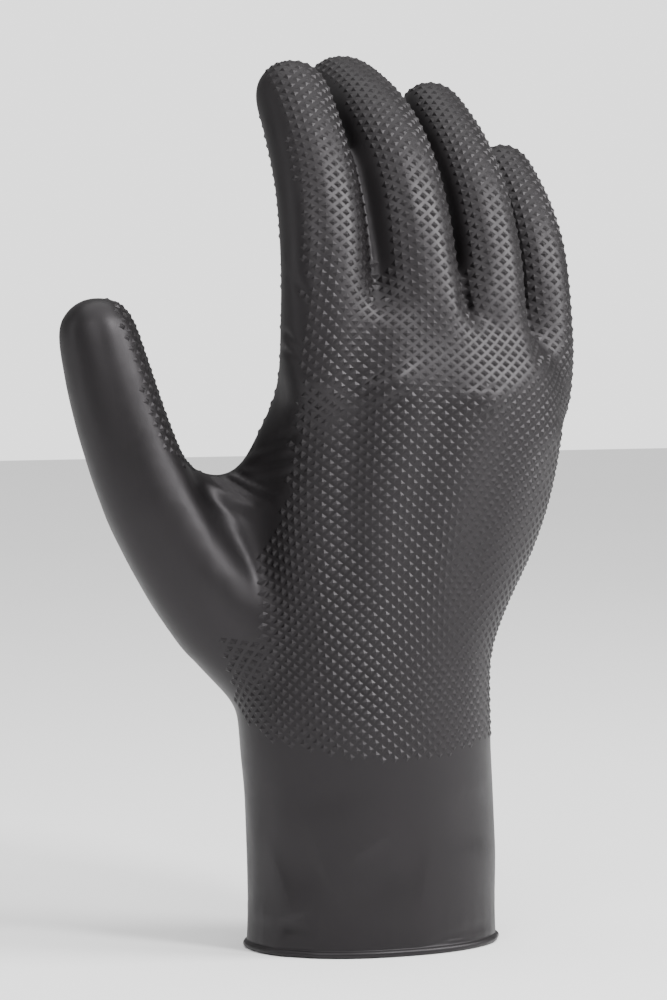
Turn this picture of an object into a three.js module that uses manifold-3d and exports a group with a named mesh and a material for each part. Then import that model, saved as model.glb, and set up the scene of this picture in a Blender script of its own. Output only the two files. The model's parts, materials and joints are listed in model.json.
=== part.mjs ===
// A disposable grip glove for a right hand, dipped in one piece from nitrile rubber and open at the cuff.
// It stands as a hand fills it: four fingers gently curled, the thumb held out, the cuff straight down.
// Millimetres. +X runs across the hand towards the little finger, +Y from the back of the hand towards
// the palm and +Z up the fingers. The origin is the middle of the cuff's mouth, where the wrist goes in.

import * as THREE from 'three';
import { mergeVertices } from 'three/addons/utils/BufferGeometryUtils.js';
import Module from 'manifold-3d';

const wasm = await Module();
wasm.setup();

// Film, and the edge rolled from it. beadProud is how far the bead's middle stands outside the film.
const wall = 1.0;
const beadDiameter = 2.2;
const beadProud = 0.4;

// Cuff and wrist, outside sizes
const cuffBreadth = 72;
const cuffDepth = 51;
const wristHeight = 78;

// Palm, outside sizes. Lean carries the knuckles towards the little finger, lift towards the hand's back,
// and arch is how far both edges of the hand curl towards the palm.
const palmHeight = 76;
const palmBreadth = 86;
const palmThickness = 38;
const palmLean = 13;
const palmLift = 12;
const palmArch = 7;

// Digits. A length is the middle line from the knuckle to the tip, the thumb's from inside the wrist.
const indexLength = 95.2;
const middleLength = 109;
const ringLength = 102;
const littleLength = 84.5;
const thumbLength = 153;
const indexBreadth = 22.3;
const middleBreadth = 23.5;
const ringBreadth = 19.2;
const littleBreadth = 17.6;
const thumbBreadth = 25;

// The fold between thumb and forefinger: its lowest point above the mouth, and its thickness halfway down
const webHeight = 130.5;
const webDepth = 50;
const webThickness = 22;

const filmColour = 0x2e2d2f;

// Each row is one level of the cuff: up is a share of wristHeight, across and spread of the cuff's own size.
const CUFF = [
  { up: 0.05, across: 0, spread: 0.985 },
  { up: 0.3, across: 0, spread: 0.995 },
  { up: 0.55, across: -0.012, spread: 0.992 },
  { up: 0.7, across: -0.026, spread: 1.0 },
  { up: 0.85, across: -0.035, spread: 1.01 },
];

// Each row is one level of the palm. up is a share of palmHeight above the wrist; lean, lift and arch are
// shares of the sizes with those names, breadth and thickness of the palm's; tilt is in degrees.
const PALM = [
  { up: 0.04, lean: -0.1, lift: 0.0, arch: 0.0, breadth: 0.8, thickness: 1.27, tilt: 0 },
  { up: 0.22, lean: 0.13, lift: 0.15, arch: 0.1, breadth: 0.855, thickness: 1.2, tilt: -1 },
  { up: 0.4, lean: 0.42, lift: 0.35, arch: 0.4, breadth: 0.93, thickness: 1.13, tilt: -3 },
  { up: 0.58, lean: 0.66, lift: 0.6, arch: 0.7, breadth: 0.975, thickness: 1.05, tilt: -4 },
  { up: 0.76, lean: 0.84, lift: 0.83, arch: 0.9, breadth: 0.99, thickness: 0.97, tilt: -5 },
  { up: 0.95, lean: 0.96, lift: 1.0, arch: 1.0, breadth: 0.99, thickness: 0.88, tilt: -7 },
  { up: 1.08, lean: 1.05, lift: 1.0, arch: 1.0, breadth: 0.96, thickness: 0.76, tilt: -10 },
  { up: 1.18, lean: 1.1, lift: 0.97, arch: 1.0, breadth: 0.91, thickness: 0.58, tilt: -14 },
  { up: 1.25, lean: 1.1, lift: 0.94, arch: 1.0, breadth: 0.84, thickness: 0.36, tilt: -17 },
];

// One row for each digit. across, deep and up place the start of its middle line from the middle knuckle,
// as shares of palmBreadth, palmThickness and palmHeight. root is how far a finger reaches down into the
// palm, and the joints say where it bends, all as shares of its own length. Degrees: splay leans it
// sideways, twist turns it about its length, pitch leans it palmwards, and its two joints add the bends.
const DIGITS = [
  { name: 'index', length: indexLength, breadth: indexBreadth, across: -0.372, deep: 0.04, up: 0,
    splay: 1.3, twist: 0, pitch: 2, middleJoint: 0.43, middleBend: 20, tipJoint: 0.75, tipBend: 18, root: 0.55 },
  { name: 'middle', length: middleLength, breadth: middleBreadth, across: -0.051, deep: 0.05, up: 0.03,
    splay: -1.2, twist: 0, pitch: 3, middleJoint: 0.43, middleBend: 31, tipJoint: 0.75, tipBend: 35, root: 0.55 },
  { name: 'ring', length: ringLength, breadth: ringBreadth, across: 0.2225, deep: 0.07, up: -0.03,
    splay: 1, twist: 0, pitch: 6, middleJoint: 0.43, middleBend: 27, tipJoint: 0.75, tipBend: 25, root: 0.55 },
  { name: 'little', length: littleLength, breadth: littleBreadth, across: 0.441, deep: 0.33, up: -0.1,
    splay: 3.5, twist: 0, pitch: 1, middleJoint: 0.43, middleBend: 28, tipJoint: 0.75, tipBend: 23, root: 0.55 },
  { name: 'thumb', length: thumbLength, breadth: thumbBreadth, across: -0.15, deep: 0.5, up: -1.35,
    splay: -43, twist: -70, pitch: -4, middleJoint: 0.53, middleBend: 27, tipJoint: 0.8, tipBend: 12, root: 0 },
];

// A finger's girth as shares of its breadth, from inside the palm (below 0) past the knuckle (0) to where
// the round tip begins (1).
const FINGER_GIRTH = [
  { at: -0.55, breadth: 0.5, thickness: 0.5 },
  { at: 0.0, breadth: 1.1, thickness: 1.12 },
  { at: 0.2, breadth: 1.12, thickness: 1.12 },
  { at: 0.4, breadth: 1.07, thickness: 1.03 },
  { at: 0.55, breadth: 1.04, thickness: 0.98 },
  { at: 0.75, breadth: 1.0, thickness: 0.93 },
  { at: 1.0, breadth: 0.94, thickness: 0.88 },
];

// The thumb's girth, from inside the wrist (0) to where its round tip begins (1).
const THUMB_GIRTH = [
  { at: 0.0, breadth: 1.06, thickness: 0.9 },
  { at: 0.12, breadth: 1.32, thickness: 1.0 },
  { at: 0.26, breadth: 1.42, thickness: 1.08 },
  { at: 0.42, breadth: 1.25, thickness: 1.18 },
  { at: 0.62, breadth: 1.1, thickness: 1.09 },
  { at: 0.76, breadth: 1.0, thickness: 1.02 },
  { at: 0.88, breadth: 0.98, thickness: 0.96 },
  { at: 1.0, breadth: 0.88, thickness: 0.85 },
];

// The web between thumb and palm: across is a share of palmBreadth from the middle of the mouth, top of
// webHeight, depth of webDepth, deep of palmThickness, and thickness of webThickness.
const WEB = [
  { across: -0.26, top: 1.25, depth: 1.3, deep: -0.12, thickness: 1.1 },
  { across: -0.31, top: 1.195, depth: 1.25, deep: -0.05, thickness: 0.95 },
  { across: -0.35, top: 1.155, depth: 1.2, deep: 0.02, thickness: 0.85 },
  { across: -0.39, top: 1.08, depth: 1.1, deep: 0.08, thickness: 0.8 },
  { across: -0.43, top: 1.025, depth: 1.0, deep: 0.14, thickness: 0.8 },
  { across: -0.47, top: 1.003, depth: 0.92, deep: 0.2, thickness: 0.8 },
  { across: -0.51, top: 1.0, depth: 0.84, deep: 0.25, thickness: 0.85 },
  { across: -0.55, top: 1.01, depth: 0.76, deep: 0.29, thickness: 0.85 },
  { across: -0.59, top: 1.03, depth: 0.7, deep: 0.32, thickness: 0.75 },
  { across: -0.62, top: 1.035, depth: 0.56, deep: 0.335, thickness: 0.55 },
];

// The hollow inside needs fewer sides than the outer face.
const bodySides = { outside: 40, inside: 31 };
const digitSides = { outside: 18, inside: 14 };
const webSides = { outside: 14, inside: 11 };
const beadSides = 8;
const beadStations = 60;
const digitSpans = 12;
const stepsInSpan = 8;

// How square the trunk's ovals and the tips are (2 is an ellipse), how far each joint's bend reaches to both
// sides as a share of the digit's length, where the root's sections lie as shares of it, and the tip's rings.
const cuffRoundness = 2.1;
const palmRoundness = 2.5;
const tipRoundness = 2.25;
const middleJointReach = 0.32;
const tipJointReach = 0.25;
const rootSections = [1, 0.67, 0.33];
const tipRingDegrees = [24, 46, 66, 82];

function sidesFor(count, inset) {
  return inset > 0 ? count.inside : count.outside;
}

// Reads a table of rows between its stations, for every column at once.
function between(rows, key, value) {
  let i = 0;
  while (i < rows.length - 2 && value > rows[i + 1][key]) i += 1;
  const t = THREE.MathUtils.smoothstep(value, rows[i][key], rows[i + 1][key]);
  return Object.fromEntries(
    Object.keys(rows[i]).map((k) => [k, THREE.MathUtils.lerp(rows[i][k], rows[i + 1][k], t)]),
  );
}

// One closed section: a rounded oval about centre, spread along side and front.
function oval({ centre, side, front, halfSide, halfFront, arch = 0, sides, roundness = 2 }) {
  const points = [];
  for (let i = 0; i < sides; i += 1) {
    const angle = (i / sides) * 2 * Math.PI;
    const c = Math.cos(angle);
    const s = Math.sin(angle);
    const u = Math.sign(c) * Math.abs(c) ** (2 / roundness);
    const v = Math.sign(s) * Math.abs(s) ** (2 / roundness);
    points.push(centre.clone()
      .addScaledVector(side, halfSide * u)
      .addScaledVector(front, halfFront * v + arch * u * u));
  }
  return points;
}

// A closed skin through a row of sections with equally many points, capped at both ends or joined round.
function loft(sections, closedRound = false) {
  const sides = sections[0].length;
  const positions = [];
  const faces = [];
  sections.forEach((section) => section.forEach((p) => positions.push(p.x, p.y, p.z)));
  const spans = closedRound ? sections.length : sections.length - 1;
  for (let i = 0; i < spans; i += 1) {
    const next = (i + 1) % sections.length;
    for (let j = 0; j < sides; j += 1) {
      const k = (j + 1) % sides;
      faces.push(i * sides + j, i * sides + k, next * sides + k);
      faces.push(i * sides + j, next * sides + k, next * sides + j);
    }
  }
  if (!closedRound) {
    [0, sections.length - 1].forEach((row, end) => {
      const middle = new THREE.Vector3();
      sections[row].forEach((p) => middle.addScaledVector(p, 1 / sides));
      const hub = positions.length / 3;
      positions.push(middle.x, middle.y, middle.z);
      for (let j = 0; j < sides; j += 1) {
        const a = row * sides + j;
        const b = row * sides + ((j + 1) % sides);
        if (end === 0) faces.push(hub, b, a);
        else faces.push(hub, a, b);
      }
    });
  }
  const geometry = new THREE.BufferGeometry();
  geometry.setAttribute('position', new THREE.Float32BufferAttribute(positions, 3));
  geometry.setIndex(faces);
  return geometry;
}

function toSolid(geometry) {
  const merged = mergeVertices(geometry, 1e-4);
  return new wasm.Manifold(new wasm.Mesh({
    numProp: 3,
    vertProperties: new Float32Array(merged.attributes.position.array),
    triVerts: new Uint32Array(merged.index.array),
  }));
}

function toGeometry(solid) {
  const mesh = solid.getMesh();
  const geometry = new THREE.BufferGeometry();
  geometry.setAttribute('position', new THREE.BufferAttribute(new Float32Array(mesh.vertProperties), 3));
  geometry.setIndex(new THREE.BufferAttribute(new Uint32Array(mesh.triVerts), 1));
  geometry.computeVertexNormals();
  return geometry;
}

const X = new THREE.Vector3(1, 0, 0);
const Y = new THREE.Vector3(0, 1, 0);
const Z = new THREE.Vector3(0, 0, 1);
const heel = new THREE.Vector3(0, 0, wristHeight);
const knuckles = new THREE.Vector3(palmLean, -palmLift, wristHeight + palmHeight);

// Cuff and palm as one trunk. inset is how far the skin lies inside the film's outer face. The film ends
// at the bead's mid height, and the skin inside it runs on below, so that the mouth is cut open.
function trunk(inset) {
  const mouth = inset > 0 ? -beadDiameter : beadDiameter / 2;
  const rows = [{ up: mouth / wristHeight, across: 0, spread: 1 }, ...CUFF];
  const cuff = rows.map((row) => oval({
    centre: new THREE.Vector3(cuffBreadth * row.across, 0, row.up * wristHeight),
    side: X,
    front: Y,
    sides: sidesFor(bodySides, inset),
    roundness: cuffRoundness,
    halfSide: (cuffBreadth / 2) * row.spread - inset,
    halfFront: (cuffDepth / 2) * row.spread - inset,
  }));
  const palm = PALM.map((row) => {
    const tilt = THREE.MathUtils.degToRad(row.tilt);
    const height = wristHeight + palmHeight * row.up;
    return oval({
      centre: new THREE.Vector3(palmLean * row.lean, -palmLift * row.lift, height - inset),
      side: new THREE.Vector3(Math.cos(tilt), 0, Math.sin(tilt)),
      front: Y,
      sides: sidesFor(bodySides, inset),
      roundness: palmRoundness,
      halfSide: (palmBreadth / 2) * row.breadth - inset,
      halfFront: (palmThickness / 2) * row.thickness - inset,
      arch: palmArch * row.arch,
    });
  });
  return toSolid(loft([...cuff, ...palm]));
}

// The stations of a digit along its middle line: from the heel of the hand straight to the knuckle, then
// up the digit with a soft bend about each of its two outer joints.
function middleLine(digit) {
  const splay = THREE.MathUtils.degToRad(digit.splay);
  const twist = THREE.MathUtils.degToRad(digit.twist);
  const up = Z.clone().applyAxisAngle(Y, splay);
  const side = X.clone().applyAxisAngle(Y, splay).applyAxisAngle(up, twist);
  const palmwards = Y.clone().applyAxisAngle(up, twist);
  const girth = digit.name === 'thumb' ? THUMB_GIRTH : FINGER_GIRTH;
  const tipRadius = (digit.breadth / 2) * girth[girth.length - 1].breadth;
  const straight = digit.length - tipRadius;
  const start = new THREE.Vector3(
    digit.across * palmBreadth,
    digit.deep * palmThickness,
    digit.up * palmHeight,
  ).add(knuckles);
  const fromHeel = start.clone().sub(heel).normalize();
  const bent = (share, joint, reach) => THREE.MathUtils.smoothstep(share, joint - reach, joint + reach);
  const bend = (share) => THREE.MathUtils.degToRad(
    digit.pitch
    + digit.middleBend * bent(share, digit.middleJoint, middleJointReach)
    + digit.tipBend * bent(share, digit.tipJoint, tipJointReach),
  );
  const ahead = (share) => up.clone().multiplyScalar(Math.cos(bend(share)))
    .addScaledVector(palmwards, Math.sin(bend(share)));
  const front = (share) => palmwards.clone().multiplyScalar(Math.cos(bend(share)))
    .addScaledVector(up, -Math.sin(bend(share)));
  const station = (share, centre) => {
    const row = between(girth, 'at', share);
    return {
      centre: centre.clone(),
      side,
      ahead: ahead(share),
      front: front(share),
      halfSide: (digit.breadth / 2) * row.breadth,
      halfFront: (digit.breadth / 2) * row.thickness,
    };
  };
  const stations = [];
  if (digit.root > 0) {
    rootSections.forEach((share) => stations.push(
      station(-digit.root * share, start.clone().addScaledVector(fromHeel, -digit.root * share * straight)),
    ));
  }
  const place = start.clone();
  const steps = digitSpans * stepsInSpan;
  for (let i = 0; i <= steps; i += 1) {
    const share = i / steps;
    if (i % stepsInSpan === 0) stations.push(station(share, place));
    place.addScaledVector(ahead(share), straight / steps);
  }
  return stations;
}

function digitSolid(digit, inset) {
  const stations = middleLine(digit);
  const last = stations[stations.length - 1];
  const tip = tipRingDegrees.map((degrees) => {
    const angle = THREE.MathUtils.degToRad(degrees);
    const reach = Math.sin(angle) ** (2 / tipRoundness);
    const girth = Math.cos(angle) ** (2 / tipRoundness);
    return {
      ...last,
      centre: last.centre.clone().addScaledVector(last.ahead, (last.halfSide - inset) * reach),
      halfSide: (last.halfSide - inset) * girth + inset,
      halfFront: (last.halfFront - inset) * girth + inset,
    };
  });
  return toSolid(loft([...stations, ...tip].map((station) => oval({
    ...station,
    sides: sidesFor(digitSides, inset),
    halfSide: station.halfSide - inset,
    halfFront: station.halfFront - inset,
  }))));
}

function webSolid(inset) {
  const last = WEB.length - 1;
  const sections = WEB.map((row, index) => {
    const top = webHeight * row.top;
    const bottom = top - webDepth * row.depth;
    const inFromEnd = { 0: -inset, [last]: inset }[index] ?? 0;
    const across = palmBreadth * row.across + inFromEnd;
    return oval({
      centre: new THREE.Vector3(across, palmThickness * row.deep, (top + bottom) / 2),
      side: Y,
      front: Z,
      sides: sidesFor(webSides, inset),
      halfSide: (webThickness * row.thickness) / 2 - inset,
      halfFront: (top - bottom) / 2 - inset,
    });
  });
  return toSolid(loft(sections.reverse()));
}

function handForm(inset) {
  let form = trunk(inset).add(webSolid(inset));
  DIGITS.forEach((digit) => {
    form = form.add(digitSolid(digit, inset));
  });
  return form;
}

// The rolled edge: a round bead all the way round the mouth.
function beadSolid() {
  const radius = beadDiameter / 2;
  const sections = [];
  for (let i = 0; i < beadStations; i += 1) {
    const angle = (i / beadStations) * 2 * Math.PI;
    const halfBreadth = cuffBreadth / 2 + beadProud;
    const halfDepth = cuffDepth / 2 + beadProud;
    sections.push(oval({
      centre: new THREE.Vector3(Math.cos(angle) * halfBreadth, Math.sin(angle) * halfDepth, radius),
      side: new THREE.Vector3(Math.cos(angle) * halfDepth, Math.sin(angle) * halfBreadth, 0).normalize(),
      front: Z,
      sides: beadSides,
      halfSide: radius,
      halfFront: radius,
    }));
  }
  return toSolid(loft(sections.reverse(), true));
}

const shell = handForm(0).add(beadSolid()).subtract(handForm(wall));

const film = new THREE.Mesh(
  toGeometry(shell),
  new THREE.MeshStandardMaterial({ color: filmColour, roughness: 0.45, metalness: 0 }),
);
film.name = 'glove_film';

const glove = new THREE.Group();
glove.add(film);

export default glove;
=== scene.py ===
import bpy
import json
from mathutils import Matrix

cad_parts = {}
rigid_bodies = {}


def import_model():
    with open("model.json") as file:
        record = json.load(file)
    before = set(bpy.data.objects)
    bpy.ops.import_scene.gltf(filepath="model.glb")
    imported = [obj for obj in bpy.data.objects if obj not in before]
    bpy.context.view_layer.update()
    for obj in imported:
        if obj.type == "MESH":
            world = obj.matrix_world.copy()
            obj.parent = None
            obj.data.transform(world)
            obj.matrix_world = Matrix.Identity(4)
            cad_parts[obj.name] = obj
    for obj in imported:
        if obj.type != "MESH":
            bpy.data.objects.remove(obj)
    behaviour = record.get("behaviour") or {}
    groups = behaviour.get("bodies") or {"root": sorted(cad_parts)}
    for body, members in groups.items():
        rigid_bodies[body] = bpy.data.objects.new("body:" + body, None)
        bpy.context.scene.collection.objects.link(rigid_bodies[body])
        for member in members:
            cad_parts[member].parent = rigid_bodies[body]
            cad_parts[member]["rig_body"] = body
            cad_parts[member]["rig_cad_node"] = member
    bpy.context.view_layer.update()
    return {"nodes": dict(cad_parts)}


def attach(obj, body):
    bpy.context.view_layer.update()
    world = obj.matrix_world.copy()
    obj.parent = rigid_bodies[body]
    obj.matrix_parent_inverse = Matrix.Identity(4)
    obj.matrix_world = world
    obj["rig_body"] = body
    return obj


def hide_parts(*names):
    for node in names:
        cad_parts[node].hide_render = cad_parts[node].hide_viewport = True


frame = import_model()

import json
import math
import bpy
import numpy as np
from mathutils import Matrix, Vector
from mathutils.bvhtree import BVHTree

# Camera: the glove stands upright, seen from its thumb side and from a little above its middle. The sizes
# are those of the 667 x 1000 photograph, so that a crease can be placed below by the pixels that it passes.
azimuth, elevation = math.radians(-25), math.radians(3)
picture_width, picture_height, focal_pixels = 667, 1000, 3931
camera_distance = 1.08
aim_sideways, aim_height = -0.0106, 0.1223
sensor_height = 24
back = Vector((math.sin(azimuth) * math.cos(elevation), -math.cos(azimuth) * math.cos(elevation),
               math.sin(elevation)))
right = Vector((math.cos(azimuth), math.sin(azimuth), 0))
above = back.cross(right)
aim = right * aim_sideways + Vector((0, 0, aim_height))
eye = aim + back * camera_distance

camera_data = bpy.data.cameras.new("camera")
camera_data.sensor_fit = "VERTICAL"
camera_data.sensor_height = sensor_height
camera_data.lens = sensor_height * focal_pixels / picture_height
camera = bpy.data.objects.new("camera", camera_data)
bpy.context.collection.objects.link(camera)
camera.matrix_world = Matrix((
    (right.x, above.x, back.x, eye.x),
    (right.y, above.y, back.y, eye.y),
    (right.z, above.z, back.z, eye.z),
    (0, 0, 0, 1),
))
bpy.context.scene.camera = camera

# The film's form: one skin of black nitrile, dipped over a hand-shaped former and filled by the hand. The
# outer face of the solid is copied above the rolled edge, made even, and its joints are smoothed together
# as stretched rubber smooths them, while every part keeps its girth.
copy_from_height = 0.007
same_place = 1e-6
remesh_size = 0.001

bpy.ops.object.select_all(action="DESELECT")
film = frame["nodes"]["glove_film"].copy()
film.data = film.data.copy()
film.name = "nitrile_film"
film.parent = None
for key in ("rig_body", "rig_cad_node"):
    if key in film:
        del film[key]
bpy.context.collection.objects.link(film)
bpy.context.view_layer.objects.active = film
film.select_set(True)
bpy.ops.object.mode_set(mode="EDIT")
bpy.ops.mesh.select_all(action="SELECT")
bpy.ops.mesh.remove_doubles(threshold=same_place)
bpy.ops.mesh.bisect(plane_co=(0, 0, copy_from_height), plane_no=(0, 0, 1), clear_inner=True, use_fill=False)
bpy.ops.mesh.select_all(action="DESELECT")
bpy.ops.object.mode_set(mode="OBJECT")

# Only the outer face is kept, which holds the highest vertex. Its mouth is closed for the remesh.
max(film.data.vertices, key=lambda v: v.co.z).select = True
bpy.ops.object.mode_set(mode="EDIT")
bpy.ops.mesh.select_linked()
bpy.ops.mesh.select_all(action="INVERT")
bpy.ops.mesh.delete(type="VERT")
bpy.ops.mesh.select_all(action="DESELECT")
bpy.ops.mesh.select_non_manifold()
bpy.ops.mesh.edge_face_add()
bpy.ops.object.mode_set(mode="OBJECT")
remesh = film.modifiers.new("even skin", "REMESH")
remesh.mode = "VOXEL"
remesh.voxel_size = remesh_size
bpy.ops.object.modifier_apply(modifier=remesh.name)


def numbers(collection, name, kind, width):
    """One attribute of a whole collection as an array."""
    values = np.empty(len(collection) * width, kind)
    collection.foreach_get(name, values)
    return values.reshape(-1, width) if width > 1 else values


def smoothstep(value, start, end):
    """0 up to the start, 1 from the end on, and a smooth rise between them."""
    t = np.clip((value - start) / (end - start), 0, 1)
    return t * t * (3 - 2 * t)


count = len(film.data.vertices)
place = numbers(film.data.vertices, "co", np.float32, 3).astype(float)
edges = numbers(film.data.edges, "vertices", np.int32, 2)
neighbours = np.bincount(edges.ravel(), minlength=count)[:, None]


def averaged(values):
    """The mean of each vertex's neighbours."""
    total = np.empty_like(values)
    for column in range(values.shape[1]):
        total[:, column] = (np.bincount(edges[:, 0], values[edges[:, 1], column], count)
                            + np.bincount(edges[:, 1], values[edges[:, 0], column], count))
    return total / neighbours


def set_places(values):
    """Moves the film's vertices and gives their new normals."""
    film.data.vertices.foreach_set("co", values.astype(np.float32).ravel())
    film.data.update()
    return numbers(film.data.vertices, "normal", np.float32, 3).astype(float)


def pixels_of(points):
    """Where the camera sees each point, in pixels of the photograph."""
    offset = points - np.array(eye)
    depth = -(offset @ np.array(back))
    return np.stack([picture_width / 2 + focal_pixels * (offset @ np.array(right)) / depth,
                     picture_height / 2 - focal_pixels * (offset @ np.array(above)) / depth], axis=1)


pixels_per_mm = focal_pixels / (camera_distance * 1000)
samples_per_line = 40
reaches_felt = 3
end_fade = 0.75
facing_from, facing_fully = 0.02, 0.3


def pressed(points, facings, lines):
    """How deep in mm each point lies under the smooth form, where it faces the camera."""
    seen = pixels_of(points)
    towards = smoothstep(facings @ np.array(back), facing_from, facing_fully)
    depth = np.zeros(len(points))
    for line, half_width, line_depth in lines:
        knots = np.array(line, float)
        lengths = np.concatenate([[0], np.cumsum(np.linalg.norm(np.diff(knots, axis=0), axis=1))])
        at = np.linspace(0, lengths[-1], samples_per_line)
        samples = np.stack([np.interp(at, lengths, knots[:, 0]), np.interp(at, lengths, knots[:, 1])], axis=1)
        reach = half_width * pixels_per_mm
        low = samples.min(axis=0) - reaches_felt * reach
        high = samples.max(axis=0) + reaches_felt * reach
        near = np.flatnonzero(np.all((seen > low) & (seen < high), axis=1))
        gaps = np.linalg.norm(seen[near][:, None, :] - samples[None, :, :], axis=2)
        nearest = gaps.argmin(axis=1)
        along = nearest / (samples_per_line - 1)
        fade = 1 - end_fade * np.abs(2 * along - 1) ** 3
        depth[near] += line_depth * fade * np.exp(-(gaps[np.arange(len(near)), nearest] / reach) ** 2)
    return depth * towards


# The backs of the fingers run down into the hand without a step: the film bridges each root. Each line has
# its pixels, its half width and its depth in mm, and a depth below nothing raises the skin.
bridged_roots = [
    ([(390, 300), (395, 338)], 8.0, -2.6),
    ([(467, 292), (474, 334)], 7.5, -4.6),
    ([(535, 338), (542, 372)], 6.5, -3.4),
    ([(482, 352), (486, 366)], 7.0, 1.4),
]
normals = set_places(place)
place = place - normals * (pressed(place, normals, bridged_roots) / 1000)[:, None]

# Between the wrist and the finger roots the joints melt together the most. Heights along the hand are in mm.
# What the smoothing takes from the girth is itself smoothed and given back.
wrist_from, wrist_to = 55, 75
fingers_from, fingers_to = 172, 196
thumb_left_of, mouth_below = -50, 12
least_soft, thumb_soft, mouth_soft = 0.25, 0.4, 0.02
inward_step, outward_step = 0.5, 0.51
even_rounds, melt_rounds, give_back_rounds = 12, 110, 260
height = place[:, 2] * 1000
soft = (least_soft + (1 - least_soft) * smoothstep(height, wrist_from, wrist_to)
        * (1 - smoothstep(height, fingers_from, fingers_to)))
soft = np.where(place[:, 0] * 1000 < thumb_left_of, thumb_soft, soft)[:, None]
soft[height < mouth_below] = mouth_soft
start = place.copy()
for _ in range(even_rounds):
    place = place + inward_step * (averaged(place) - place)
    place = place - outward_step * (averaged(place) - place)
for _ in range(melt_rounds):
    place = place + inward_step * soft * (averaged(place) - place)
normals = set_places(place)
lost = np.sum((start - place) * normals, axis=1)[:, None]
for _ in range(give_back_rounds):
    lost = lost + inward_step * (averaged(lost) - lost)
place = place + normals * lost
normals = set_places(place)

# Relief: what the hand and the pull of the rubber press into the film. Each line is given as above, by the
# pixels that it passes in the photograph, its half width and its depth in mm.
pressed_lines = [
    # valleys between the bones of the hand, and the knuckles beside them
    ([(374, 322), (356, 400), (346, 500), (348, 610)], 6.5, 1.7),
    ([(462, 335), (438, 420), (418, 520), (408, 600)], 5.5, 1.0),
    ([(536, 385), (508, 440), (482, 520), (462, 600)], 5.0, 0.8),
    ([(386, 372), (396, 398)], 7.0, -1.6),
    ([(488, 384), (494, 412)], 6.0, -1.5),
    ([(322, 372), (316, 410)], 7.0, -1.0),
    ([(556, 420), (552, 450)], 5.0, -0.6),
    # the webs between the fingers end in a sharp fold that runs down into the hand
    ([(376, 286), (380, 306)], 1.5, 1.0),
    ([(463, 292), (468, 314)], 1.5, 0.9),
    ([(537, 342), (543, 366)], 1.4, 1.0),
    # the web of the thumb, drawn into sharp parallel folds and a fan of soft ones
    ([(214, 469), (234, 483), (252, 493), (270, 500)], 0.85, 0.8),
    ([(205, 474), (226, 487), (244, 497), (258, 503)], 0.8, 0.65),
    ([(226, 466), (246, 478), (262, 486), (284, 490)], 0.85, 0.6),
    ([(234, 452), (256, 448), (280, 440), (300, 432)], 1.6, 0.6),
    ([(240, 466), (262, 464), (286, 458), (306, 452)], 1.5, 0.55),
    ([(252, 480), (272, 478), (292, 474), (310, 470)], 1.4, 0.5),
    ([(196, 486), (214, 500), (232, 512), (246, 520)], 2.0, 0.5),
    # short pulls on the bare side of the forefinger
    ([(288, 274), (300, 288), (309, 300)], 0.95, 0.5),
    ([(284, 330), (292, 342), (302, 350)], 0.95, 0.5),
    ([(282, 348), (291, 356), (300, 362)], 0.9, 0.45),
    ([(277, 433), (287, 440), (296, 446)], 0.95, 0.45),
    # the loose cuff: dents, a long soft hollow, and two folds at the mouth
    ([(280, 878), (322, 862)], 10.0, 0.9),
    ([(372, 846), (388, 872), (425, 876)], 8.0, 0.8),
    ([(330, 800), (350, 900)], 9.0, -0.4),
    ([(266, 780), (262, 850), (262, 920)], 4.0, 0.8),
    ([(470, 790), (476, 850)], 6.0, 0.6),
    ([(428, 945), (447, 939), (466, 932), (488, 924)], 0.8, 0.6),
    ([(268, 941), (275, 930), (290, 923), (312, 918)], 1.3, 0.55),
]
place = place - normals * (pressed(place, normals, pressed_lines) / 1000)[:, None]

# The bottoms of the gaps between the fingers, which face up, are made even once more.
web_rise_from, web_rise_to, web_fall_from, web_fall_to = 0.140, 0.150, 0.180, 0.190
upward_from, upward_fully = 0.3, 0.6
web_rounds = 8
web_zone = (smoothstep(place[:, 2], web_rise_from, web_rise_to)
            * (1 - smoothstep(place[:, 2], web_fall_from, web_fall_to)))
web_zone = (web_zone * smoothstep(normals[:, 2], upward_from, upward_fully))[:, None]
for _ in range(web_rounds):
    place = place + inward_step * web_zone * (averaged(place) - place)
normals = set_places(place)

# Flow of the grip pattern: a field that rises from the cuff to every fingertip gives the direction in which
# the pattern climbs, and its rows run square to that.
tips_mm = [(-17, 21.3, 240.5), (6.9, 43.7, 239.3), (33.6, 38.8, 235), (55.3, 34.6, 218.4), (-76.2, 18, 177.5)]
mouth_height, tip_reach = 0.009, 0.003
solver_rounds, flow_rounds = 700, 14
settled = 1e-16
never_zero = 1e-12


def gathered(flow, pairs):
    """The sum of what flows into each vertex along the pairs, less what flows out."""
    return np.bincount(pairs[:, 1], flow, count) - np.bincount(pairs[:, 0], flow, count)


def relaxed(pairs, wanted, start_values, free):
    """Least squares: the difference along every pair comes as near as it can to the wanted one."""
    result = start_values.copy()
    residual = gathered(wanted - (result[pairs[:, 1]] - result[pairs[:, 0]]), pairs) * free
    heading = residual.copy()
    strength = residual @ residual
    for _ in range(solver_rounds):
        if strength < settled:
            break
        answer = gathered(heading[pairs[:, 1]] - heading[pairs[:, 0]], pairs) * free
        length = strength / (heading @ answer)
        result += length * heading
        residual -= length * answer
        fresh = residual @ residual
        heading = residual + fresh / strength * heading
        strength = fresh
    return result


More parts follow.
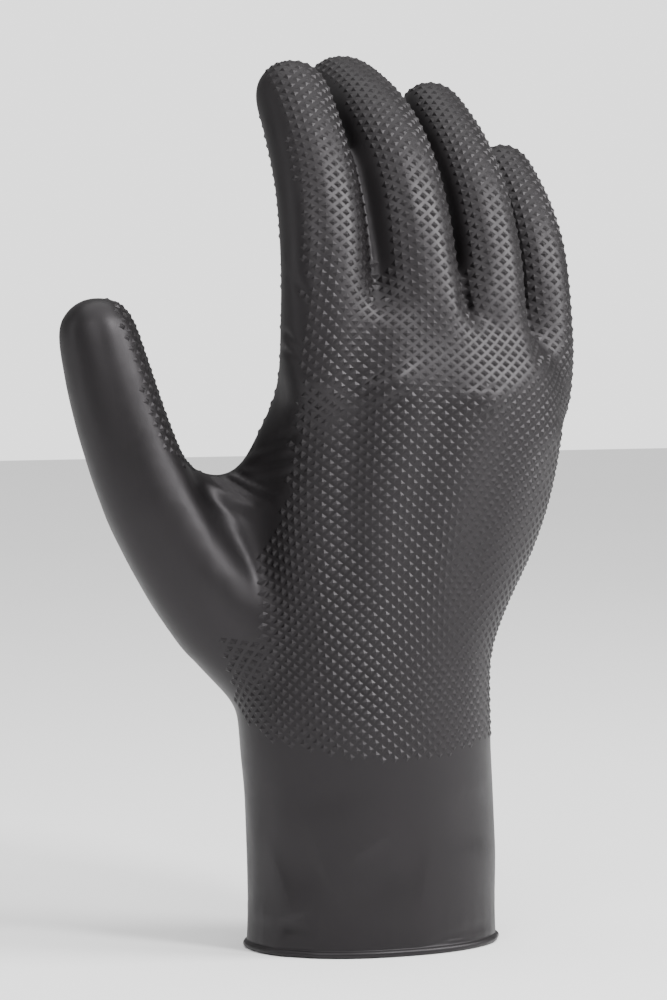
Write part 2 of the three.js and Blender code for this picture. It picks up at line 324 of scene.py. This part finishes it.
rise = np.zeros(count)
free = np.ones(count)
free[place[:, 2] < mouth_height] = 0
for tip in tips_mm:
    at_tip = np.linalg.norm(place - np.array(tip) / 1000, axis=1) < tip_reach
    rise[at_tip] = 1
    free[at_tip] = 0
rise = relaxed(edges, np.zeros(len(edges)), rise, free)
step_along = place[edges[:, 1]] - place[edges[:, 0]]
rise_along = (rise[edges[:, 1]] - rise[edges[:, 0]])[:, None] * step_along
climb = np.stack([np.bincount(edges[:, 0], rise_along[:, c], count)
                  + np.bincount(edges[:, 1], rise_along[:, c], count) for c in range(3)], axis=1)
for _ in range(flow_rounds):
    climb -= normals * np.sum(climb * normals, axis=1)[:, None]
    climb /= np.linalg.norm(climb, axis=1)[:, None] + never_zero
    climb = averaged(climb)
climb -= normals * np.sum(climb * normals, axis=1)[:, None]
climb /= np.linalg.norm(climb, axis=1)[:, None] + never_zero
row = np.cross(climb, normals)

# Where the pattern lies: on the back and on the palm, from just above the wrist to the fingertips, and in a
# strip on the ball of the thumb. The sides of the fingers, the thumb's back and the cuff are smooth.
back_limit_pixels = [
    (300, 330), (283, 400), (277, 445), (277, 520), (265, 550), (220, 610), (222, 650), (235, 700),
    (250, 725), (270, 740), (320, 755), (400, 762), (440, 760), (480, 740), (600, 700), (700, 500),
    (700, -40), (220, -40), (240, 250),
]
thumb_limit_pixels = [
    (110, 292), (115, 308), (121, 326), (125, 341), (133, 363), (140, 383), (146, 408), (154, 426),
    (164, 446), (173, 457), (184, 466), (230, 480), (300, 480), (300, 250), (110, 250),
]
thumb_pad_facing = np.array((0.93, -0.24, 0.26))
thumb_root_facing = np.array((0.25, 0.97, 0.0))
thumb_left_of_mm, thumb_above = -31, 0.088
heel_below = 0.122
thumb_turns_from, thumb_turns_to = 0.105, 0.150
back_reach, heel_back_reach = -0.15, 0.05
palm_reach, pad_reach = 0.12, 0.3


def inside(points, outline):
    """Whether each point lies in a closed outline, which a ray from it then meets an odd number of times."""
    crossings = np.zeros(len(points), int)
    for (x0, y0), (x1, y1) in zip(outline, outline[1:] + outline[:1]):
        if y0 == y1:
            continue
        spans = (points[:, 1] < y0) != (points[:, 1] < y1)
        meets = x0 + (points[:, 1] - y0) * (x1 - x0) / (y1 - y0)
        crossings += spans & (points[:, 0] < meets)
    return crossings % 2 == 1


rightwards = place @ np.array(right) * 1000
on_thumb = (rightwards < thumb_left_of_mm) & (place[:, 2] > thumb_above)
side_facing = normals[:, 0]
to_palm = -row[:, 0]
low_left = ~on_thumb & (place[:, 2] < heel_below) & (normals[:, 0] < 0)
lean = (1 - smoothstep(place[:, 2], thumb_turns_from, thumb_turns_to))[:, None]
thumb_facing = (1 - lean) * thumb_pad_facing + lean * thumb_root_facing
thumb_facing /= np.linalg.norm(thumb_facing, axis=1)[:, None]
to_palm = np.where(on_thumb, np.sum(normals * thumb_facing, axis=1), to_palm)
to_palm = np.where(low_left, -(normals @ np.array(back)), to_palm)
back_side = ~on_thumb & (to_palm < np.where(low_left, heel_back_reach, back_reach))
palm_side = to_palm > np.where(on_thumb, pad_reach, palm_reach)
patch = back_side * 1 + palm_side * 2
same_patch = (patch[edges[:, 0]] == patch[edges[:, 1]]) & (patch[edges[:, 0]] > 0)
pattern_edges = edges[same_patch]
pattern_step = place[pattern_edges[:, 1]] - place[pattern_edges[:, 0]]


def laid_out(field):
    """A coordinate in mm that grows along the field, over each patch of the pattern."""
    wanted = np.sum(pattern_step * (field[pattern_edges[:, 0]] + field[pattern_edges[:, 1]]), axis=1) / 2
    return relaxed(pattern_edges, wanted * 1000, np.zeros(count), np.ones(count))


repeat_across, repeat_up = 3.7, 3.15
least_area = 0.05
never_empty = 1e-9
across_mm = laid_out(row)
up_mm = laid_out(climb)
first = across_mm / repeat_across + up_mm / repeat_up
second = across_mm / repeat_across - up_mm / repeat_up

film.data.calc_loop_triangles()
triangles = numbers(film.data.loop_triangles, "vertices", np.int32, 3)
triangles = triangles[(patch[triangles[:, 0]] > 0) & (patch[triangles[:, 0]] == patch[triangles[:, 1]])
                      & (patch[triangles[:, 0]] == patch[triangles[:, 2]])]
corner_a, corner_b = first[triangles], second[triangles]
slope = np.stack([across_mm[triangles[:, 1]] - across_mm[triangles[:, 0]],
                  up_mm[triangles[:, 1]] - up_mm[triangles[:, 0]],
                  across_mm[triangles[:, 2]] - across_mm[triangles[:, 0]],
                  up_mm[triangles[:, 2]] - up_mm[triangles[:, 0]]], axis=1)
area = slope[:, 0] * slope[:, 3] - slope[:, 1] * slope[:, 2]
side_1 = place[triangles[:, 1]] - place[triangles[:, 0]]
side_2 = place[triangles[:, 2]] - place[triangles[:, 0]]
sound = np.abs(area) > least_area
safe_area = np.where(sound, area, 1)[:, None]
along_row = (side_1 * slope[:, 3:4] - side_2 * slope[:, 1:2]) / safe_area
along_climb = (side_2 * slope[:, 0:1] - side_1 * slope[:, 2:3]) / safe_area
weight = sound.astype(float)
shares = np.bincount(triangles.ravel(), np.repeat(weight, 3), count) + never_empty
vertex_row = np.stack([np.bincount(triangles.ravel(), np.repeat(along_row[:, c] * weight, 3), count)
                       for c in range(3)], axis=1) / shares[:, None]
vertex_climb = np.stack([np.bincount(triangles.ravel(), np.repeat(along_climb[:, c] * weight, 3), count)
                         for c in range(3)], axis=1) / shares[:, None]

# Every triangle that holds a whole-numbered place of the lattice carries one grip point.
low_a, low_b = np.ceil(corner_a.min(axis=1)), np.ceil(corner_b.min(axis=1))
holds = (low_a <= corner_a.max(axis=1)) & (low_b <= corner_b.max(axis=1)) & sound
tri, corner_a, corner_b = triangles[holds], corner_a[holds], corner_b[holds]
low_a, low_b = low_a[holds], low_b[holds]
whole = ((corner_a[:, 1] - corner_a[:, 0]) * (corner_b[:, 2] - corner_b[:, 0])
         - (corner_a[:, 2] - corner_a[:, 0]) * (corner_b[:, 1] - corner_b[:, 0]))
share_1 = ((low_a - corner_a[:, 0]) * (corner_b[:, 2] - corner_b[:, 0])
           - (corner_a[:, 2] - corner_a[:, 0]) * (low_b - corner_b[:, 0])) / whole
share_2 = ((corner_a[:, 1] - corner_a[:, 0]) * (low_b - corner_b[:, 0])
           - (low_a - corner_a[:, 0]) * (corner_b[:, 1] - corner_b[:, 0])) / whole
held = (share_1 >= 0) & (share_2 >= 0) & (share_1 + share_2 <= 1)
tri, share_1, share_2 = tri[held], share_1[held], share_2[held]
corner_shares = np.stack([1 - share_1 - share_2, share_1, share_2], axis=1)


def mixed(values):
    """A value of the film's vertices, taken at each grip point."""
    return np.sum(values[tri] * (corner_shares[:, :, None] if values.ndim == 2 else corner_shares), axis=1)


grip_place, grip_normal = mixed(place), mixed(normals)
grip_normal /= np.linalg.norm(grip_normal, axis=1)[:, None]
grip_row, grip_climb = mixed(vertex_row), mixed(vertex_climb)
grip_patch = patch[tri[:, 0]]
grip_palm = mixed(to_palm)
grip_thumb = on_thumb[tri[:, 0]]
grip_side = np.abs(mixed(side_facing))
grip_pixel = pixels_of(grip_place)
grip_mm = grip_place * 1000
grip_to_camera = mixed(normals) @ np.array(back)

# The bare places: the sides of the fingers, the bottoms of the gaps between them, a narrow ridge along the
# forefinger's edge, and the palm below its curved lower edge. A point goes too where the lattice is stretched.
fingers_above = 0.168
thumbward_limit, other_side_limit, palm_side_limit = 0.79, 0.88, 0.86
gap_above, gap_below, gap_upward = 0.140, 0.185, 0.62
palm_edge_mm, palm_edge_rise_mm, palm_middle_mm, palm_half_mm = 53, 6, 12, 30
hidden_limit, pad_limit = 0.05, 0.42
stretch_limit = 0.4
thumbward = (grip_place[:, 2] > fingers_above) & (grip_normal[:, 0] < 0)
finger_side = np.where(thumbward, thumbward_limit, other_side_limit)
side_clear = (grip_side < finger_side) | low_left[tri[:, 0]]
in_gaps = (grip_place[:, 2] > gap_above) & (grip_place[:, 2] < gap_below) & (grip_normal[:, 2] > gap_upward)
side_clear &= ~in_gaps
forefinger_edge_pixels = [(352, 150), (357, 142), (365, 150), (374, 190), (380, 225), (387, 256), (390, 270),
                          (378, 275), (370, 245), (364.5, 205), (359, 175)]
side_clear &= ~(inside(grip_pixel, forefinger_edge_pixels) & (grip_to_camera > 0))
on_back = (grip_patch == 1) & inside(grip_pixel, back_limit_pixels) & side_clear
lower_edge = palm_edge_mm + palm_edge_rise_mm * ((grip_mm[:, 0] - palm_middle_mm) / palm_half_mm) ** 2
on_palm = ((grip_patch == 2) & ~grip_thumb & (grip_mm[:, 2] > lower_edge) & (grip_side < palm_side_limit)
           & (grip_to_camera < hidden_limit))
on_pad = ((grip_patch == 2) & grip_thumb & (grip_palm > pad_limit)
          & (inside(grip_pixel, thumb_limit_pixels) | (grip_to_camera < 0)))
fair = ((np.abs(np.linalg.norm(grip_row, axis=1) * 1000 - 1) < stretch_limit)
        & (np.abs(np.linalg.norm(grip_climb, axis=1) * 1000 - 1) < stretch_limit))
kept = (on_back | on_palm | on_pad) & fair
grip_place, grip_normal = grip_place[kept], grip_normal[kept]
grip_row, grip_climb = grip_row[kept], grip_climb[kept]

# Rolled edge and inside: the same black nitrile. Before the film is stripped off its former, the edge is
# rolled on itself into a bead round the cuff's mouth. The bead turns in and meets the skin inside.
trim_height = 0.010
film_faces_kept, inside_faces_kept = 0.42, 0.1
bpy.ops.object.select_all(action="DESELECT")
film.select_set(True)
bpy.context.view_layer.objects.active = film
bpy.ops.object.mode_set(mode="EDIT")
bpy.ops.mesh.select_all(action="SELECT")
bpy.ops.mesh.bisect(plane_co=(0, 0, trim_height), plane_no=(0, 0, 1), clear_inner=True, use_fill=False)
bpy.ops.object.mode_set(mode="OBJECT")
inner = film.copy()
inner.data = film.data.copy()
inner.name = "inside"
bpy.context.collection.objects.link(inner)
thin = film.modifiers.new("fewer faces", "DECIMATE")
thin.ratio = film_faces_kept
bpy.ops.object.modifier_apply(modifier=thin.name)


def rim_of(mesh):
    """The places of the open edge's vertices, in order round the mouth, counterclockwise from above."""
    faces_at = {}
    for face in mesh.polygons:
        for edge in face.edge_keys:
            faces_at[edge] = faces_at.get(edge, 0) + 1
    beside = {}
    for one, other in (edge for edge, faces in faces_at.items() if faces == 1):
        beside.setdefault(one, []).append(other)
        beside.setdefault(other, []).append(one)
    loop = [min(beside, key=lambda v: mesh.vertices[v].co.z)]
    previous = None
    while True:
        following = [v for v in beside[loop[-1]] if v != previous][0]
        previous = loop[-1]
        if following == loop[0]:
            break
        loop.append(following)
    places = np.array([mesh.vertices[v].co for v in loop])
    following_places = np.roll(places, -1, axis=0)
    area = np.sum(places[:, 0] * following_places[:, 1] - following_places[:, 0] * places[:, 1])
    return places if area > 0 else places[::-1]


rim_place = rim_of(film.data)
ahead_step = np.roll(rim_place, -1, axis=0) - np.roll(rim_place, 1, axis=0)
outward = np.stack([ahead_step[:, 1], -ahead_step[:, 0], np.zeros(len(rim_place))], axis=1)
if np.sum(outward * (rim_place - rim_place.mean(axis=0))) < 0:
    outward = -outward
outward_rounds = 4
for _ in range(outward_rounds):
    outward = outward + (np.roll(outward, 1, axis=0) + np.roll(outward, -1, axis=0)) / 2
    outward /= np.linalg.norm(outward, axis=1)[:, None]

# The section of the edge in mm, as steps outward from the film and heights. The bead is slimmer for a short
# way at its right end, where the photograph shows a notch in it.
film_thickness = 0.0006
bead_radius = 0.95
bead_out, bead_height = 0.25, 1.0
bead_turns = (88, 62, 38, 14, -10, -34, -58, -82, -106, -130, -154, -178, 158)
notch_pixel, notch_reach, notch_share = (502, 905), 1.6, 0.28
notched_beyond, inside_below, inside_press = 0.3, -0.5, 0.8
flare = [(0.02, 8.4), (0.06, 6.8), (0.1, 5.4), (0.14, 4.2), (0.18, 3.2), (0.2, 2.55), (0.14, 2.15)]
roll = [(bead_out + bead_radius * math.cos(math.radians(turn)),
         bead_height + bead_radius * math.sin(math.radians(turn))) for turn in bead_turns]
inner_wall = [(-0.66, 2.2), (-0.62, 4), (-0.6, 7), (-0.6, 10.0)]
notch_at = np.argmin(np.linalg.norm(pixels_of(rim_place) - np.array(notch_pixel), axis=1))
from_notch = np.linalg.norm(rim_place - rim_place[notch_at], axis=1) * 1000
slim = 1 - notch_share * np.exp(-(from_notch / notch_reach) ** 2)
rings = []
for out, level in flare + roll + inner_wall:
    shape = rim_place + outward * (out * np.where(out > notched_beyond, slim, 1))[:, None] / 1000
    shape[:, 2] = level / 1000
    press_share = 1 if out > inside_below else inside_press
    shape -= outward * (pressed(shape, outward, pressed_lines) * press_share / 1000)[:, None]
    rings.append(shape)

inner_normals = numbers(inner.data.vertices, "normal", np.float32, 3).astype(float)
inner_place = numbers(inner.data.vertices, "co", np.float32, 3).astype(float)
inner_place -= inner_normals * film_thickness
inner.data.vertices.foreach_set("co", inner_place.astype(np.float32).ravel())
bpy.ops.object.select_all(action="DESELECT")
inner.select_set(True)
bpy.context.view_layer.objects.active = inner
thin = inner.modifiers.new("fewer faces", "DECIMATE")
thin.ratio = inside_faces_kept
bpy.ops.object.modifier_apply(modifier=thin.name)
bpy.ops.object.mode_set(mode="EDIT")
bpy.ops.mesh.select_all(action="SELECT")
bpy.ops.mesh.flip_normals()
bpy.ops.object.mode_set(mode="OBJECT")

bead_points = [rim_place] + rings
width = len(rim_place)
bead_mesh = bpy.data.meshes.new("bead")
bead_faces = []
for level in range(len(bead_points) - 1):
    for k in range(width):
        n = (k + 1) % width
        low, high = level * width, (level + 1) * width
        bead_faces.append((low + k, low + n, high + n, high + k))

# The last ring and the inside skin's own rim have different counts of points, so a band of triangles joins
# them, and each triangle steps on along the loop that is less far round.
inner_rim = rim_of(inner.data)
first = np.argmin(np.linalg.norm(inner_rim - rings[-1][0], axis=1))
inner_rim = np.roll(inner_rim, -first, axis=0)
last_ring = (len(bead_points) - 1) * width
inner_start = last_ring + width
around = [np.concatenate([[0], np.cumsum(np.linalg.norm(np.diff(loop, axis=0, append=loop[:1]), axis=1))])
          for loop in (rings[-1], inner_rim)]
around = [length / length[-1] for length in around]
here, there = 0, 0
while here < width or there < len(inner_rim):
    this, facing_it = last_ring + here % width, inner_start + there % len(inner_rim)
    if there == len(inner_rim) or (here < width and around[0][here + 1] < around[1][there + 1]):
        here += 1
        bead_faces.append((this, last_ring + here % width, facing_it))
    else:
        there += 1
        bead_faces.append((this, inner_start + there % len(inner_rim), facing_it))
bead_points.append(inner_rim)
bead_mesh.from_pydata(np.concatenate(bead_points).tolist(), [], bead_faces)
bead = bpy.data.objects.new("bead", bead_mesh)
bpy.context.collection.objects.link(bead)

# Grip points: low four-sided pyramids with small flat tops, of the same nitrile. They are raised out of the
# film where it was dipped on a patterned former, so the foot of each is set on the film's own surface.
point_height, foot_share, top_share, sunk = 0.00038, 0.84, 0.07, 0.0001
foot_search = 0.003
skin = BVHTree.FromObject(film, bpy.context.evaluated_depsgraph_get())
grip_points, grip_faces = [], []
for centre, facing, row_step, climb_step in zip(grip_place, grip_normal, grip_row, grip_climb):
    centre, facing = Vector(centre), Vector(facing)
    sideways, upwards = Vector(row_step) * repeat_across / 2, Vector(climb_step) * repeat_up / 2
    arms = [sideways, upwards, -sideways, -upwards]
    if sideways.cross(upwards).dot(facing) < 0:
        arms.reverse()
    base = len(grip_points)
    for arm in arms:
        foot = centre + arm * foot_share
        on_skin = skin.find_nearest(foot, foot_search)[0]
        if on_skin is not None:
            foot = on_skin
        grip_points.append(foot - facing * sunk)
    for arm in arms:
        grip_points.append(centre + arm * top_share + facing * point_height)
    for k in range(4):
        n = (k + 1) % 4
        grip_faces.append((base + k, base + n, base + 4 + n, base + 4 + k))
    grip_faces.append((base + 4, base + 5, base + 6, base + 7))
    grip_faces.append((base + 3, base + 2, base + 1, base))
grip_mesh = bpy.data.meshes.new("grip")
grip_mesh.from_pydata([tuple(p) for p in grip_points], [], grip_faces)
grip = bpy.data.objects.new("grip", grip_mesh)
bpy.context.collection.objects.link(grip)

# One piece: the film, its edge and its inside are welded into one closed skin, and the points join it.
weld_gap = 2e-6
for piece in (film, bead, inner):
    piece.data.shade_smooth()
bpy.ops.object.select_all(action="DESELECT")
for piece in (film, bead, inner):
    piece.select_set(True)
bpy.context.view_layer.objects.active = film
bpy.ops.object.join()
bpy.ops.object.mode_set(mode="EDIT")
bpy.ops.mesh.select_all(action="SELECT")
bpy.ops.mesh.remove_doubles(threshold=weld_gap)
bpy.ops.mesh.normals_make_consistent(inside=False)
bpy.ops.object.mode_set(mode="OBJECT")
film.data.shade_smooth()
bpy.ops.object.select_all(action="DESELECT")
film.select_set(True)
grip.select_set(True)
bpy.context.view_layer.objects.active = film
bpy.ops.object.join()

# Nitrile: a black, satin synthetic rubber, coloured through, a little warm in its sheen. Washing and drying
# leave a faint uneven bloom on it, and the dipping leaves fine streaks and a fine grain.
object_coordinates, mix_colour = 3, 2
mix_colour_a, mix_colour_b = 6, 7


class Value:
    """An output socket that takes part in sums and products, each of which adds a Math node."""

    def __init__(self, tree, socket):
        self.tree, self.socket = tree, socket

    def maths(self, operation, other):
        node = self.tree.nodes.new("ShaderNodeMath")
        node.operation = operation
        for socket, value in zip(node.inputs, (self, other)):
            if isinstance(value, Value):
                self.tree.links.new(value.socket, socket)
            else:
                socket.default_value = value
        return Value(self.tree, node.outputs[0])

    def __add__(self, other):
        return self.maths("ADD", other)

    def __mul__(self, other):
        return self.maths("MULTIPLY", other)

    __radd__, __rmul__ = __add__, __mul__


class Finish:
    """A material and the nodes in it."""

    def __init__(self, name):
        self.material = bpy.data.materials.new(name)
        self.material.use_nodes = True
        self.tree = self.material.node_tree
        self.tree.nodes.clear()

    def node(self, kind, settings=None, output=0, **sockets):
        made = self.tree.nodes.new(kind)
        for key, value in (settings or {}).items():
            setattr(made, key, value)
        for key, value in sockets.items():
            socket = made.inputs[key.replace("_", " ")]
            if isinstance(value, Value):
                self.tree.links.new(value.socket, socket)
            else:
                socket.default_value = value
        return Value(self.tree, made.outputs[output])

    def blend(self, share, one, other):
        mix = self.node("ShaderNodeMix", {"data_type": "RGBA"}, output=mix_colour, Factor=share)
        mix.socket.node.inputs[mix_colour_a].default_value = one
        mix.socket.node.inputs[mix_colour_b].default_value = other
        return mix

    def put_on(self, piece, surface):
        ending = self.tree.nodes.new("ShaderNodeOutputMaterial")
        self.tree.links.new(surface.socket, ending.inputs["Surface"])
        piece.data.materials.append(self.material)


nitrile = Finish("black_nitrile")
where = nitrile.node("ShaderNodeTexCoord", output=object_coordinates)
bloom = nitrile.node("ShaderNodeTexNoise", Vector=where, Scale=55, Detail=4, Roughness=0.55)
grain = nitrile.node("ShaderNodeTexNoise", Vector=where, Scale=2600, Detail=2, Roughness=0.5)
streak = nitrile.node("ShaderNodeTexNoise", Vector=where, Scale=420, Detail=3, Roughness=0.6)
dark_rubber, pale_rubber = (0.0030, 0.0026, 0.0028, 1), (0.0062, 0.0052, 0.0056, 1)
rubber = nitrile.blend(bloom, dark_rubber, pale_rubber)
least_roughness, bloom_roughness, streak_roughness = 0.30, 0.22, 0.08
roughness = least_roughness + bloom * bloom_roughness + streak * streak_roughness
grain_height, streak_height = 0.6, 0.4
texture = grain * grain_height + streak * streak_height
relief = nitrile.node("ShaderNodeBump", Height=texture, Strength=0.35, Distance=0.00006)
surface = nitrile.node("ShaderNodeBsdfPrincipled", Base_Color=rubber, Roughness=roughness, Normal=relief)
surface.socket.node.inputs["IOR"].default_value = 1.38
surface.socket.node.inputs["Specular Tint"].default_value = (1.0, 0.955, 0.995, 1)
film.data.materials.clear()
nitrile.put_on(film, surface)
film.data.polygons.foreach_set("material_index", np.zeros(len(film.data.polygons), np.int32))

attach(film, "root")
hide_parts("glove_film")

# Floor: a plain sheet of pale matt paper that lies under the cuff and runs far back, as a photographer rolls
# it out.
floor_size = 6
white_paper, whiter_paper = (0.86, 0.86, 0.86, 1), (0.9, 0.9, 0.9, 1)
bpy.ops.object.select_all(action="DESELECT")
bpy.ops.mesh.primitive_plane_add(size=floor_size, location=(0, 0, 0))
floor = bpy.context.object
floor.name = "floor"
paper = Finish("pale_paper")
paper_place = paper.node("ShaderNodeTexCoord", output=object_coordinates)
fleck = paper.node("ShaderNodeTexNoise", Vector=paper_place, Scale=3, Detail=2)
paper_colour = paper.blend(fleck, white_paper, whiter_paper)
paper.put_on(floor, paper.node("ShaderNodeBsdfPrincipled", Base_Color=paper_colour, Roughness=0.9))

# Studio: white all round, seen by the camera brighter than it lights the glove, with soft boxes that stand
# to the right, in front and to the left, and a wide soft light from above. Their sizes are in metres.
white = (1, 1, 1, 1)
sky_lights, sky_seen = 0.36, 2.0
sky = bpy.data.worlds.new("studio")
sky.use_nodes = True
light_tree = sky.node_tree
lit = light_tree.nodes["Background"]
lit.inputs["Color"].default_value = white
lit.inputs["Strength"].default_value = sky_lights
seen_sky = light_tree.nodes.new("ShaderNodeBackground")
seen_sky.inputs["Color"].default_value = white
seen_sky.inputs["Strength"].default_value = sky_seen
ray_kind = light_tree.nodes.new("ShaderNodeLightPath")
either = light_tree.nodes.new("ShaderNodeMixShader")
light_tree.links.new(ray_kind.outputs["Is Camera Ray"], either.inputs["Fac"])
light_tree.links.new(lit.outputs["Background"], either.inputs[1])
light_tree.links.new(seen_sky.outputs["Background"], either.inputs[2])
light_tree.links.new(either.outputs["Shader"], light_tree.nodes["World Output"].inputs["Surface"])
bpy.context.scene.world = sky


def soft_box(name, sideways, height, nearness, width, tall, power):
    """A rectangular lamp that faces the glove from beside, above and in front of its middle."""
    lamp = bpy.data.lights.new(name, "AREA")
    lamp.shape = "RECTANGLE"
    lamp.size, lamp.size_y = width, tall
    lamp.energy = power
    holder = bpy.data.objects.new(name, lamp)
    bpy.context.collection.objects.link(holder)
    towards_camera = Vector((back.x, back.y, 0)).normalized()
    spot = aim + right * sideways + Vector((0, 0, height)) + towards_camera * nearness
    holder.location = spot
    holder.rotation_euler = (spot - aim).to_track_quat("Z", "Y").to_euler()


soft_box("soft_right", sideways=1.05, height=0.6, nearness=0.1, width=0.5, tall=0.6, power=20)
soft_box("soft_front_right", sideways=0.7, height=0.9, nearness=0.6, width=0.2, tall=0.25, power=15)
soft_box("soft_front", sideways=-0.35, height=0.8, nearness=1.1, width=0.7, tall=0.5, power=9)
soft_box("soft_left", sideways=-1.1, height=0.3, nearness=0.1, width=0.25, tall=0.9, power=2)

ceiling = bpy.data.lights.new("ceiling", "SUN")
ceiling.energy = 2.5
ceiling.angle = math.radians(70)
ceiling_holder = bpy.data.objects.new("ceiling", ceiling)
bpy.context.collection.objects.link(ceiling_holder)
ceiling_holder.location = (0, 0, 2)
